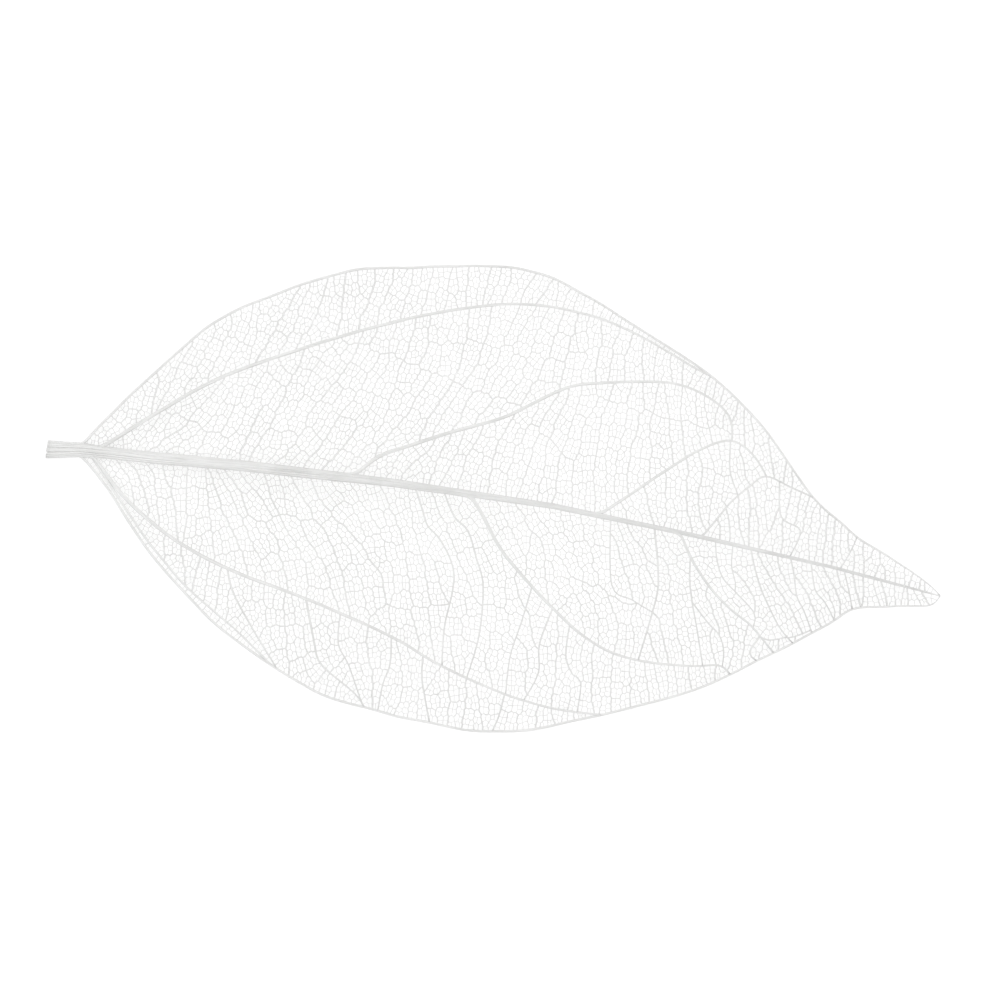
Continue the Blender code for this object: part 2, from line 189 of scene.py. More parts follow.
# Thickness of the small veins, in mm, by the area of the loop that they divide
VEIN_BY_LOOP = [(0.5, 0.05), (0.8, 0.055), (1.1, 0.064), (2.2, 0.077), (4, 0.096), (12, 0.13)]
VEIN_BY_PLACE = [(0, 1.15), (30, 1.12), (48, 1), (64, 1.08), (76, 1.16), (LENGTH, 1.16)]
ALONG_LADDERS = 1.15
ACROSS_LADDERS = 0.92
VEIN_SPREAD = 0.14

# Bars along the veins, and the openings between them
BOW_LIMIT = 0.015
SMALLEST_HOLE = 0.02
FEWEST_CORNERS = 3
CENTRE_SHARES = (0.2, 0.4)
HALVINGS = 8
MITRE_LIMIT = 2.5
STRAIGHT = 0.25
SLACK = 0.004
FOLD_LIMIT = 0.01
RIDGE_LIMIT = 0.07
UNDER_FIBRES = 0.4
BAR_IN_BUNDLE = 0.6
TOO_CLOSE = 0.004

# Veins that end free inside the smallest loops
VEINLET_SHARE = 0.35
VEINLET_ROOM = 0.12
VEINLET_LENGTH = (0.6, 1.15)
VEINLET_ROOT = (0.35, 0.65)
VEINLET_BEND = 0.15
VEINLET_BEND_PLACE = 0.55
VEINLET_SIZES = (0.025, 0.021, 0.014)
VEINLET_SIDES = 3

# Fibres, whose map is in cm along them
MM_IN_CM = 10
MAP_STARTS = 100.0

# Bundles of fibres on the midrib
RIB_STEP = 0.6
RIB_SIDES = 18
RIB_START = -3.5
RIB_FIBRES = 18
FIBRE_SHARE = 0.21
FIBRE_SIDES = 6
FIBRE_SINK = 0.55
FIBRE_JITTER = 0.2
FIBRE_WEAVE = 0.3
FIBRE_WEAVE_SIZE = 9.0
FIBRE_APART = 3
FIBRE_SWELL = 0.25
SWELL_SEED = SEED + 5
FRAY = 0.5
FOOT_FRAY = 0.2
TIP_FRAY = (-6, 0.6)

# Fibres of the side veins and margins: how far they run along the midrib first, and how they wind
SIDE_THICKEST = 0.42
SIDE_LEAD = 6.0
LEAST_WITH_LEAD = 0.25
LEAD_SIZE = 0.4
LEAD_EDGE = 0.8
LEAD_RISE = 0.25
SMOOTHINGS = 8
SIDE_STEP = 0.5
SIDE_FIBRES = 5
SIDE_SIDES = 6
SIDE_TWIST = 0.25
FIBRE_REACH = 0.62
FIBRE_SIZE = 0.46

# Greys of the bleached tissue, and how it takes the light
PATCH_GREYS = [(0.35, (0.79, 0.79, 0.783, 1)), (0.68, (0.87, 0.87, 0.865, 1))]
PATCH_SCALE = 260
PATCH_DETAIL = 5
STREAK_GREYS = [(0.36, (0.84, 0.84, 0.835, 1)), (0.56, (1, 1, 1, 1))]
STREAK_STRETCH = (3, 10, 1)
STREAK_DETAIL = 3
GRAIN_SCALE = 9000
GRAIN_DETAIL = 3
GRAIN_STRENGTH = 0.5
GRAIN_DEPTH = 0.00005
VEIN_ROUGHNESS = 0.62
VEIN_IOR = 1.45
VEIN_SCATTER = 0.2
SCATTER_DEPTH = 0.0002

# Light and camera, in m
FLOOR_REACH = 30.0
FLOOR_GREY = (0.5, 0.5, 0.5, 1)
FLOOR_ROUGHNESS = 0.9
FLOOR_GLOW = 0.54
WORLD_LIGHT = 0.61
LAMP_SIZE = 1.2
LAMP_SHIFT = (-0.1, 0.15)
LAMP_HEIGHT = 0.9
LAMP_POWER = 6.1
VIEW_TILT = 9.63
VIEW_WIDTH = 0.106
VIEW_CENTRE = (0.0446, 0.0022)
NEAREST_VIEW = 0.01
LENS = 135.0
SENSOR = 36.0


def smooth_path(points, step):
    """The points joined by one smooth curve, with a corner about every step."""
    knots = [Vector((x, y, 0)) for x, y in points]
    path = [knots[0]]
    for index in range(len(knots) - 1):
        here, there = knots[index], knots[index + 1]
        before = knots[max(index - 1, 0)]
        after = knots[min(index + 2, len(knots) - 1)]
        corners = max(2, round((there - here).length / step) + 1)
        path += geometry.interpolate_bezier(
            here, here + (there - before) / 6, there - (after - here) / 6, there, corners)[1:]
    return path


def height_on(points, x):
    """Second coordinate of a line of points at the given first one."""
    for (x0, y0), (x1, y1) in zip(points, points[1:]):
        if x <= x1:
            return y0 + (y1 - y0) * max(x - x0, 0) / (x1 - x0)
    return points[-1][1]


def midrib_height(x):
    """Height of the midrib's middle, which lies level under the stalk and then arches."""
    climb = math.sin(math.pi * max(x - ARCH_START, 0) / ARCH_SPAN)
    return STALK_HEIGHT + (ARCH - STALK_HEIGHT) * climb


def margin_height(x, touch):
    """Height of a margin, which leaves the stalk's height, rises, and dips where it touches down."""
    dip = math.exp(-((x - touch) / TOUCH_REACH) ** 2)
    rise = WAVE * (1 - math.exp(-max(x, 0) / FOOT_REACH))
    return MARGIN_SINK * dip + (STALK_HEIGHT + rise) * (1 - dip)


def side_of(x, y):
    """How far a place lies from the midrib to its margin, as a share, with that margin's facts."""
    middle = height_on(MIDRIB, x)
    across = y - middle
    margin, touch = (UPPER_MARGIN, UPPER_TOUCH) if across > 0 else (LOWER_MARGIN, LOWER_TOUCH)
    width = max(abs(height_on(margin, x) - middle), NARROWEST)
    return min(abs(across) / width, 1), touch, across > 0


def leaf_height(x, y):
    """Height of the arched blade over the surface, at a place on the flat leaf."""
    share, touch, _ = side_of(x, y)
    fall = midrib_height(x) - margin_height(x, touch)
    crease = CREASE * (1 - math.exp(-max(min(x, LENGTH - x), 0) / CREASE_REACH))
    height = midrib_height(x) - fall * share ** 2 + crease * 4 * share * (1 - share)
    lift = BILLOW * noise.noise(Vector((x, y, SEED)) / BILLOW_SIZE)
    held = math.exp(-((x - touch) / TOUCH_REACH) ** 2) * share ** 4
    return height + lift * min(share / BILLOW_ROOT, 1) * (1 - held)


def on_leaf(place):
    """A place on the flat leaf, lifted to the arched blade."""
    return Vector((place.x, place.y, leaf_height(place.x, place.y)))


def holds(corners, point):
    """Whether a flat outline holds the point."""
    inside = False
    px, py = point.x, point.y
    last = corners[-1]
    last_x, last_y = last.x, last.y
    for corner in corners:
        x, y = corner.x, corner.y
        if (y > py) != (last_y > py) and px < x + (py - y) * (last_x - x) / (last_y - y):
            inside = not inside
        last_x, last_y = x, y
    return inside


def corners_of(cell):
    """The outline of a cell."""
    return [vert.co for vert in cell.verts]


def inner_place(corners, centre, rng):
    """The centre of an outline, or a place halfway between two corners if that lies outside."""
    while not holds(corners, centre):
        centre = rng.choice(corners).lerp(rng.choice(corners), 0.5)
    return centre


def cell_at(bm, point):
    """The cell that holds the point, or none."""
    for cell in bm.faces:
        if holds(corners_of(cell), point):
            return cell
    return None


def shape_of(corners):
    """Area and centre of a flat outline, and its spread along x, along y and along both."""
    area = sum_x = sum_y = xx = yy = xy = 0
    origin_x, origin_y = corners[0].x, corners[0].y
    ax, ay = corners[-1].x - origin_x, corners[-1].y - origin_y
    for corner in corners:
        bx, by = corner.x - origin_x, corner.y - origin_y
        cross = ax * by - bx * ay
        area += cross / 2
        sum_x += (ax + bx) * cross / 6
        sum_y += (ay + by) * cross / 6
        xx += cross * (ax * ax + ax * bx + bx * bx) / 12
        yy += cross * (ay * ay + ay * by + by * by) / 12
        xy += cross * (2 * ax * ay + ax * by + bx * ay + 2 * bx * by) / 24
        ax, ay = bx, by
    cx, cy = sum_x / area, sum_y / area
    sign = math.copysign(1, area)
    spread = ((xx - area * cx * cx) * sign, (yy - area * cy * cy) * sign, (xy - area * cx * cy) * sign)
    return abs(area), Vector((cx + origin_x, cy + origin_y, 0)), spread


def crossing(cell, inner, outer):
    """Where the way from a place in a cell to one outside first meets a vein round the cell."""
    found = None
    for loop in cell.loops:
        place = geometry.intersect_line_line_2d(
            inner.xy, outer.xy, loop.vert.co.xy, loop.link_loop_next.vert.co.xy)
        if place is not None:
            distance = (place - inner.xy).length
            if found is None or distance < found[0]:
                found = (distance, Vector((place.x, place.y, 0)))
    return found[1] if found else None


def clip_to(cell, path, middle):
    """The stretch of a path round its middle that lies in a cell, drawn out to the veins at both of
    its ends, and how many places lie before it."""
    corners = corners_of(cell)
    first = last = middle
    while first > 0 and holds(corners, path[first - 1]):
        first -= 1
    while last + 1 < len(path) and holds(corners, path[last + 1]):
        last += 1
    run = path[first:last + 1]
    ends = []
    for end, beside, beyond in ((run[0], run[1], first - 1), (run[-1], run[-2], last + 1)):
        if 0 <= beyond < len(path):
            outer = path[beyond]
        else:
            outer = end + (end - beside).normalized() * REACH
        ends.append(crossing(cell, end, outer))
    if None in ends:
        return 0, None
    start, end = ends
    if (run[0] - start).length < END_ROOM:
        run = run[1:]
    if len(run) > 1 and (run[-1] - end).length < END_ROOM:
        run = run[:-1]
    return first, [start, *run, end]


def vertex_at(cell, point):
    """The cell's corner nearest the point, or a new one on its nearest vein."""
    nearest = None
    for loop in cell.loops:
        start, end = loop.vert, loop.link_loop_next.vert
        foot, share = geometry.intersect_point_line(point, start.co, end.co)
        share = min(max(share, 0), 1)
        foot = start.co.lerp(end.co, share)
        gap = (foot - point).length_squared
        if nearest is None or gap < nearest[0]:
            nearest = (gap, loop.edge, start, end, share, foot)
    _, edge, start, end, share, foot = nearest
    if (foot - start.co).length < SNAP:
        return start
    if (foot - end.co).length < SNAP:
        return end
    return bmesh.utils.edge_split(edge, start, share)[1]


def grow_vein(bm, cell, path, root, tip):
    """Divides a cell by a vein along the path, as thick as root where it starts and as tip where it
    ends, and gives the new cell."""
    start, end = vertex_at(cell, path[0]), vertex_at(cell, path[-1])
    if start is end or any(start in edge.verts and end in edge.verts for edge in cell.edges):
        return None
    new_cell = bmesh.utils.face_split(cell, start, end, coords=path[1:-1])[0]
    layer = bm.edges.layers.float["thickness"]
    fresh = [edge for edge in new_cell.edges if edge[layer] == 0]
    whole = (path[-1] - path[0]).length
    for edge in fresh:
        middle = (edge.verts[0].co + edge.verts[1].co) / 2
        share = min((middle - path[0]).length / whole, 1)
        edge[layer] = root + (tip - root) * share
    return new_cell


def chord(cell, through, turn):
    """The stretch of a line through a cell that holds the given point, and how well it meets the
    veins at both ends: square to them, and away from other corners."""
    along_x, along_y = math.cos(turn), math.sin(turn)
    ahead, behind = None, None
    px, py = through.x, through.y
    for loop in cell.loops:
        start, end = loop.vert.co, loop.link_loop_next.vert.co
        sx, sy, ex, ey = start.x - px, start.y - py, end.x - px, end.y - py
        side_start = along_x * sy - along_y * sx
        side_end = along_x * ey - along_y * ex
        if (side_start > 0) == (side_end > 0):
            continue
        share = side_start / (side_start - side_end)
        distance = (sx + (ex - sx) * share) * along_x + (sy + (ey - sy) * share) * along_y
        if distance > 0 and (ahead is None or distance < ahead[0]):
            ahead = (distance, start, end, share)
        if distance <= 0 and (behind is None or -distance < behind[0]):
            behind = (-distance, start, end, share)
    if ahead is None or behind is None:
        return None
    ends = []
    for distance, start, end, share in (behind, ahead):
        vein = end - start
        square = abs(vein.x * along_x + vein.y * along_y) / max(vein.length, LEAST_LENGTH)
        room = min(share, 1 - share) * vein.length
        ends.append((distance, start.lerp(end, share), square, room))
    return ends


def ladder_turn(place):
    """Direction of the ladder veins, which lean more the nearer they are to the midrib."""
    share, _, upper = side_of(place.x, place.y)
    lean = height_on(UPPER_LEAN, place.x) if upper else -LOWER_LEAN
    turn = math.pi / 2 - math.radians(lean) * (1 - LEAN_LOSS * share)
    for height, size in LADDER_WAVES:
        turn += height * noise.noise(place / size)
    return turn


def trace_ladder(cell, corners, through):
    """A ladder vein through a place, which follows their direction to the veins on both sides."""
    halves = []
    for sign in (1, -1):
        place = through
        half = []
        for _ in range(round(LENGTH / LADDER_STEP)):
            turn = ladder_turn(place)
            ahead = place + Vector((math.cos(turn), math.sin(turn), 0)) * LADDER_STEP * sign
            if not holds(corners, ahead):
                end = crossing(cell, place, ahead)
                break
            end = min(corners, key=lambda corner: (corner - ahead).length_squared)
            if (end - ahead).length < LADDER_ROOM:
                break
            half.append(ahead)
            place = ahead
        if end is None:
            return None
        if half and (half[-1] - end).length < LADDER_STEP / 2:
            half.pop()
        halves.append(half + [end])
    return halves[1][::-1] + [through] + halves[0]


def thickness_in(area, x, rng):
    """Thickness of a vein that divides a loop of the given area, at a place along the blade."""
    usual = height_on(VEIN_BY_LOOP, area) * height_on(VEIN_BY_PLACE, x)
    return usual * rng.uniform(1 - VEIN_SPREAD, 1 + VEIN_SPREAD)


def add_link(bm, cell, centre, across, rng):
    """Divides a loop by a vein across its ladder veins."""
    along = Vector((math.sin(across), -math.cos(across), 0))
    through = centre + along * rng.gauss(0, LINK_SHIFT)
    if not holds(corners_of(cell), through):
        return None
    ends = chord(cell, through, across + rng.gauss(0, LINK_TURN))
    if ends is None:
        return None
    thickness = thickness_in(shape_of(corners_of(cell))[0], centre.x, rng)
    return grow_vein(bm, cell, [place for _, place, _, _ in ends], thickness, thickness)


def add_ladders(bm, rng):
    """Divides the loops between the main veins by ladder veins until none is too wide."""
    waiting = list(bm.faces)
    while waiting:
        cell = waiting.pop()
        corners = corners_of(cell)
        centre = inner_place(corners, shape_of(corners)[1], rng)
        across = ladder_turn(centre) + math.pi / 2
        ends = chord(cell, centre, across)
        lengths = chord(cell, centre, across - math.pi / 2)
        if ends is None or lengths is None:
            continue
        width = ends[0][0] + ends[1][0]
        length = lengths[0][0] + lengths[1][0]
        if length > LADDER_LENGTH * rng.uniform(*LADDER_LENGTHS) and width < length:
            new_cell = add_link(bm, cell, centre, across, rng)
            if new_cell is not None:
                waiting += [cell, new_cell]
                continue
        narrow = height_on(LADDER_WIDTH, centre.x) * rng.uniform(1 - LOOP_SPREAD, 1 + LOOP_SPREAD)
        if width < narrow:
            continue
        best = None
        middle = (ends[1][0] - ends[0][0]) / 2
        for _ in range(LADDER_TRIES):
            shift = rng.gauss(0, CUT_SHIFT) * min(width, LADDER_SHIFT_WIDTH)
            side = Vector((math.cos(across), math.sin(across), 0)) * (middle + shift)
            through = centre + side
            path = trace_ladder(cell, corners, through) if holds(corners, through) else None
            if path is None:
                continue
            room = min((path[end] - corner).length for end in (0, -1) for corner in corners)
            cost = abs(shift) / width + max(0, CORNER_ROOM - room)
            if best is None or cost < best[0]:
                best = (cost, path)
        if best is None:
            continue
        thickness = rng.uniform(*LADDER_THICKNESS) * height_on(VEIN_BY_PLACE, centre.x)
        new_cell = grow_vein(bm, cell, best[1], thickness, thickness)
        if new_cell is not None:
            waiting += [cell, new_cell]


def long_axis_of(centre, spread):
    """Direction of a loop's long axis, where the width across the ladder veins counts for more, so
    that the small loops lie along those veins."""
    xx, yy, xy = spread
    turn = ladder_turn(centre) + math.pi / 2
    x, y = math.cos(turn), math.sin(turn)
    extra = (GRAIN ** 2 - 1) * (x * x * xx + 2 * x * y * xy + y * y * yy)
    return 0.5 * math.atan2(2 * (xy + extra * x * y), xx - yy + extra * (x * x - y * y))


def halve(bm, cell, area, centre, spread, rng):
    """Divides a cell across its long axis, by a small vein, which is thicker along the ladder veins
    than across them."""
    corners = corners_of(cell)
    centre = inner_place(corners, centre, rng)
    size = math.sqrt(area)
    turn = long_axis_of(centre, spread)
    long_axis = Vector((math.cos(turn), math.sin(turn), 0))
    best = None
    for _ in range(TRIES):
        shift = rng.gauss(0, CUT_SHIFT)
        through = centre + long_axis * shift * size
        if not holds(corners, through):
            continue
        ends = chord(cell, through, turn + math.pi / 2 + rng.gauss(0, CUT_TURN))
        if ends is None:
            continue
        cost = abs(shift)
        for distance, _, square, room in ends:
            cost += distance / size + square + CROWDING_COST * max(0, CORNER_ROOM - room)
        if best is None or cost < best[0]:
            best = (cost, [place for _, place, _, _ in ends])
    if best is None:
        return None
    way = best[1][1] - best[1][0]
    along = math.cos(math.atan2(way.y, way.x) - ladder_turn(centre)) ** 2
    thickness = thickness_in(area, centre.x, rng)
    thickness *= ACROSS_LADDERS + (ALONG_LADDERS - ACROSS_LADDERS) * along
    return grow_vein(bm, cell, best[1], thickness, thickness)


def halve_all(bm, largest, rng):
    """Halves every cell until none is larger than the largest loop."""
    waiting = list(bm.faces)
    while waiting:
        cell = waiting.pop()
        area, centre, spread = shape_of(corners_of(cell))
        if area < largest * rng.uniform(1 - LOOP_SPREAD, 1 + LOOP_SPREAD):
            continue
        new_cell = halve(bm, cell, area, centre, spread, rng)
        if new_cell is not None:
            waiting += [cell, new_cell]


def relax(bm, rounds):
    """Evens the loops out, while each vein stays the straighter the thicker it is."""
    layer = bm.edges.layers.float["thickness"]
    held = bm.edges.layers.int["held"]
    loose = []
    for vert in bm.verts:
        if any(edge[held] for edge in vert.link_edges):
            continue
        ties = [(edge.other_vert(vert), edge[layer] ** TIE_POWER) for edge in vert.link_edges]
        stiffness = height_on(STRAIGHTENING, max(edge[layer] for edge in vert.link_edges))
        loose.append((vert, list(vert.link_faces), ties, stiffness))
    for _ in range(rounds):
        shapes = {}
        for cell in bm.faces:
            area, centre, _ = shape_of(corners_of(cell))
            shapes[cell] = (area, centre * area)
        for vert, cells, ties, stiffness in loose:
            pull, area = Vector(), 0
            for cell in cells:
                pull += shapes[cell][1]
                area += shapes[cell][0]
            line, hold = Vector(), 0
            for other, strength in ties:
                weight = strength / max((other.co - vert.co).length, SNAP)
                line += other.co * weight
                hold += weight
            target = (pull / area).lerp(line / hold, stiffness)
            vert.co = vert.co.lerp(target, RELAX_SHARE)


def merge_slivers(bm):
    """Opens every loop that is too small, or that its veins would fill, into the neighbour with which
    it shares most."""
    held = bm.edges.layers.int["held"]
    layer = bm.edges.layers.float["thickness"]
    for cell in list(bm.faces):
        if not cell.is_valid:
            continue
        if shape_of(corners_of(cell))[0] > SMALLEST_LOOP and hole_in(cell, layer):
            continue
        shared = [edge for edge in cell.edges if not edge[held]]
        if shared:
            longest = max(shared, key=lambda edge: edge.calc_length())
            bmesh.utils.face_join(list(longest.link_faces), True)


def follow_form(bm):
    """Divides each vein that would leave the leaf's form if it ran straight from end to end."""
    for edge in list(bm.edges):
        start, end = edge.verts
        straight = (on_leaf(start.co) + on_leaf(end.co)) / 2
        if abs(leaf_height(straight.x, straight.y) - straight.z) > BOW_LIMIT:
            bmesh.utils.edge_split(edge, start, 0.5)


def rippled(path, side):
    """The way of a margin, with a slight ripple along the blade."""
    line = []
    for place in path:
        fade = min(max(place.x, 0), max(LENGTH - place.x, 0), 1)
        ripple = noise.noise(Vector((place.x / MARGIN_RIPPLE_SIZE, side, SEED)))
        line.append(place + Vector((0, fade * ripple * MARGIN_RIPPLE, 0)))
    return line


def add_half_blade(bm, margin, side):
    """One face between a side of the midrib and one margin."""
    inner = [margin[0]]
    for place in smooth_path(MIDRIB, CURVE_STEP):
        if margin[0].x + CURVE_STEP < place.x < margin[-1].x - CURVE_STEP:
            away = side * INNER_EDGE * height_on(MIDRIB_WIDTH, place.x)
            inner.append(place + Vector((0, away, 0)))
    verts = [bm.verts.new(place) for place in inner + margin[:0:-1]]
    cell = bm.faces.new(verts)
    cell.normal_update()
    if cell.normal.z < 0:
        cell.normal_flip()
    layer = bm.edges.layers.float["thickness"]
    rim = set(verts[len(inner) - 1:] + verts[:1])
    root, tip = MARGIN_THICKNESS
    for edge in cell.edges:
        x = edge.verts[0].co.x
        outer = edge.verts[0] in rim and edge.verts[1] in rim
        margin_here = (root + (tip - root) * x / LENGTH) * height_on(TIP_TAPER, x)
        edge[layer] = margin_here if outer else INNER_THICKNESS


def way_of(points, side, thickness):
    """The way of a main vein, and how many of its places lead along the midrib's side. A thick vein
    is rounded off where it leaves the midrib, the more the thicker it is."""
    path = smooth_path(points, SIDE_STEP)
    root = path[0]
    if thickness < LEAST_WITH_LEAD or abs(root.y - height_on(MIDRIB, root.x)) > MIDRIB_WIDTH[0][1]:
        return path, 0
    strength = (thickness / SIDE_THICKEST) ** 2
    length = SIDE_LEAD * strength
    count = max(round(length / SIDE_STEP), 1)
    lead = []
    for index in range(count):
        x = max(root.x - length * (1 - index / count), RIB_START)
        away = side * height_on(MIDRIB_WIDTH, x) * LEAD_EDGE * index / count
        lead.append(Vector((x, height_on(MIDRIB, x) + away, 0)))
    path = lead + path
    for _ in range(round(SMOOTHINGS * strength)):
        inner = []
        for before, here, after in zip(path, path[1:], path[2:]):
            inner.append((before + here * 2 + after) / 4)
        path = [path[0], *inner, path[-1]]
    return path, count


def flat_net(margin, side, rng):
    """The net of veins of one half of the blade, drawn flat in mm, and the ways of its main veins."""
    bm = bmesh.new()
    bm.edges.layers.float.new("thickness")
    held = bm.edges.layers.int.new("held")
    path, lead = way_of(margin, side, MARGIN_THICKNESS[0])
    path = rippled(path, side)
    add_half_blade(bm, path[lead:-1:2] + path[-1:], side)
    main_veins = [(path, lead, *MARGIN_THICKNESS)]
    for root, tip, points in SIDE_VEINS + BRANCH_VEINS:
        path, lead = way_of(points, side, root)
        middle = (lead + len(path)) // 2
        cell = cell_at(bm, path[middle])
        first, run = clip_to(cell, path, middle) if cell else (0, None)
        if run:
            grow_vein(bm, cell, run, root, tip)
            main_veins.append((path[:first] + run, first if lead else 0, root, tip))
    layer = bm.edges.layers.float["thickness"]
    for edge in bm.edges:
        edge[held] = 1
        edge[layer] *= BAR_IN_BUNDLE
    add_ladders(bm, rng)
    for largest, rounds in LOOPS:
        halve_all(bm, largest, rng)
        relax(bm, rounds)
    for _ in range(LAST_ROUNDS):
        merge_slivers(bm)
        relax(bm, 1)
    follow_form(bm)
    merge_slivers(bm)
    return bm, main_veins


def clearance(sides, point):
    """How far a point in a cell lies from the sides of the veins round it."""
    px, py = point.x, point.y
    best = LENGTH
    for sx, sy, dx, dy, squared, half in sides:
        ax, ay = px - sx, py - sy
        share = min(max((ax * dx + ay * dy) / squared, 0), 1)
        room = math.hypot(ax - share * dx, ay - share * dy) - half
        if room < best:
            best = room
    return best


def sees_all_round(corners, point):
    """Whether straight lines from the point reach every corner of an outline."""
    px, py = point.x, point.y
    last = corners[-1]
    ax, ay = last.x - px, last.y - py
    for corner in corners:
        bx, by = corner.x - px, corner.y - py
        if ax * by - ay * bx <= 0:
            return False
        ax, ay = bx, by
    return True


def open_centre(corners, sides):
    """The roomiest of a few places in a cell that see all its corners, or none."""
    middle = shape_of(corners)[1]
    places = [middle]
    if not sees_all_round(corners, middle):
        places = [middle.lerp(corner, share) for corner in corners for share in CENTRE_SHARES]
        places = [place for place in places if sees_all_round(corners, place)]
    rooms = [clearance(sides, place) for place in places]
    if not rooms or max(rooms) < SMALLEST_HOLE:
        return None
    return places[rooms.index(max(rooms))]


def mitre(corner, before, after):
    """The place in a cell that keeps clear of the two veins at a corner by half their thickness."""
    _, _, in_x, in_y, in_squared, in_half = before
    _, _, out_x, out_y, out_squared, out_half = after
    in_length, out_length = math.sqrt(in_squared), math.sqrt(out_squared)
    in_x, in_y = in_x / in_length, in_y / in_length
    out_x, out_y = out_x / out_length, out_y / out_length
    bend = in_x * out_y - in_y * out_x
    if abs(bend) < STRAIGHT:
        away = Vector((-in_y - out_y, in_x + out_x, 0)).normalized() * max(in_half, out_half)
    else:
        away = Vector((in_half * out_x - out_half * in_x, in_half * out_y - out_half * in_y, 0)) / bend
        limit = MITRE_LIMIT * max(in_half, out_half)
        if away.length > limit:
            away *= limit / away.length
    return corner + away


def doubled_area(corners):
    """Twice the area of a flat outline, negative if it runs clockwise."""
    pairs = zip(corners, corners[1:] + corners[:1])
    return sum(here.x * after.y - here.y * after.x for here, after in pairs)


def closed_up(corners, mitres, clear):
    """The opening of a winding cell, whose corners without room take the nearest place that has it,
    or none if the veins would then fold over."""
    count = len(mitres)
    roomy = [index for index in range(count) if clear[index]]
    if len(roomy) < FEWEST_CORNERS:
        return None
    if shape_of([mitres[index] for index in roomy])[0] < SMALLEST_HOLE:
        return None
    hole = []
    for corner in corners:
        nearest = min(roomy, key=lambda index: (mitres[index] - corner).length_squared)
        hole.append(mitres[nearest])
    for index in range(count):
        after = (index + 1) % count
        if doubled_area([corners[index], corners[after], hole[after], hole[index]]) < -FOLD_LIMIT:
            return None
    return hole


def hole_in(cell, layer):
    """The corners of the opening between a cell's veins, one for each corner of the cell, or none
    where the veins leave no room for an opening."""
    corners = [loop.vert.co for loop in cell.loops]
    sides = []
    for loop in cell.loops:
        start, end = loop.vert.co, loop.link_loop_next.vert.co
        dx, dy = end.x - start.x, end.y - start.y
        squared = max(dx * dx + dy * dy, LEAST_SQUARE)
        sides.append((start.x, start.y, dx, dy, squared, loop.edge[layer] / 2))
    mitres = [mitre(corner, sides[index - 1], sides[index]) for index, corner in enumerate(corners)]
    clear = [clearance(sides, place) > -SLACK and holds(corners, place) for place in mitres]
    if all(clear) and shape_of(mitres)[0] > SMALLEST_HOLE:
        return mitres
    centre = open_centre(corners, sides)
    if centre is None:
        return closed_up(corners, mitres, clear)
    hole = []
    for corner, start, is_clear in zip(corners, mitres, clear):
        if is_clear:
            hole.append(start)
            continue
        near, far = 0, 1
        for _ in range(HALVINGS):
            middle = (near + far) / 2
            if clearance(sides, corner.lerp(centre, middle)) < 0:
                near = middle
            else:
                far = middle
        hole.append(corner.lerp(centre, far))
    return hole


def outward(vert):
    """Direction from the leaf's margin away from the blade, at one corner of it."""
    sides = Vector()
    for edge in vert.link_edges:
        if edge.is_boundary:
            loop = edge.link_loops[0]
            along = (loop.link_loop_next.vert.co - loop.vert.co).normalized()
            sides += Vector((along.y, -along.x, 0))
    return sides.normalized()


def add_bar_side(solid, start, end, low_start, low_end):
    """The upper and lower slope of one side of a bar."""
    solid.faces.new((start[0], end[0], low_end, low_start))
    solid.faces.new((end[1], start[1], low_start, low_end))


def add_veinlet(solid, cell, rng):
    """A vein that ends free inside a loop, thinning to its end."""
    edge = rng.choice([edge for edge in cell.edges if not edge.is_boundary])
    root = edge.verts[0].co.lerp(edge.verts[1].co, rng.uniform(*VEINLET_ROOT))
    centre = shape_of(corners_of(cell))[1]
    way = (centre - root) * rng.uniform(*VEINLET_LENGTH)
    bend = Vector((-way.y, way.x, 0)) * rng.gauss(0, VEINLET_BEND)
    path = [on_leaf(place) for place in (root, root + way * VEINLET_BEND_PLACE + bend, root + way)]
    add_tube(solid, path, [(size, size) for size in VEINLET_SIZES], VEINLET_SIDES, rng)


def net_object(name, flat, rng):
    """Bars along the edges of a flat net, lifted to the leaf's form. A bar has a ridge above and
    below its vein, and its sides meet those of its neighbours in a hole."""
    layer = flat.edges.layers.float["thickness"]
    solid = bmesh.new()
    solid.loops.layers.uv.new("fibre")
    ridges = {}
    rims = {}
    held = flat.edges.layers.int["held"]
    for vert in flat.verts:
        main = [edge for edge in vert.link_edges if edge[held]]
        half = max(edge[layer] for edge in main or vert.link_edges) / 2
        place = on_leaf(vert.co)
        tall = Vector((0, 0, half * UNDER_FIBRES if main else min(half, RIDGE_LIMIT)))
        ridges[vert] = (solid.verts.new(place + tall), solid.verts.new(place - tall))
        if vert.is_boundary:
            rims[vert] = solid.verts.new(on_leaf(vert.co + outward(vert) * half))
    for cell in flat.faces:
        verts = [loop.vert for loop in cell.loops]
        hole = hole_in(cell, layer)
        if hole is None:
            solid.faces.new([ridges[vert][0] for vert in verts])
            solid.faces.new([ridges[vert][1] for vert in reversed(verts)])
            continue
        if shape_of(hole)[0] > VEINLET_ROOM and rng.random() < VEINLET_SHARE:
            add_veinlet(solid, cell, rng)
        ring = [solid.verts.new(on_leaf(place)) for place in hole]
        for index, vert in enumerate(verts):
            after = (index + 1) % len(verts)
            add_bar_side(solid, ridges[vert], ridges[verts[after]], ring[index], ring[after])
    for edge in flat.edges:
        if edge.is_boundary:
            loop = edge.link_loops[0]
            end, start = loop.vert, loop.link_loop_next.vert
            add_bar_side(solid, ridges[start], ridges[end], rims[start], rims[end])
    bmesh.ops.remove_doubles(solid, verts=solid.verts, dist=TOO_CLOSE)
    return mesh_object(name, solid)


def placed(name, data):
    """A new object in the scene."""
    item = bpy.data.objects.new(name, data)
    bpy.context.scene.collection.objects.link(item)
    return item


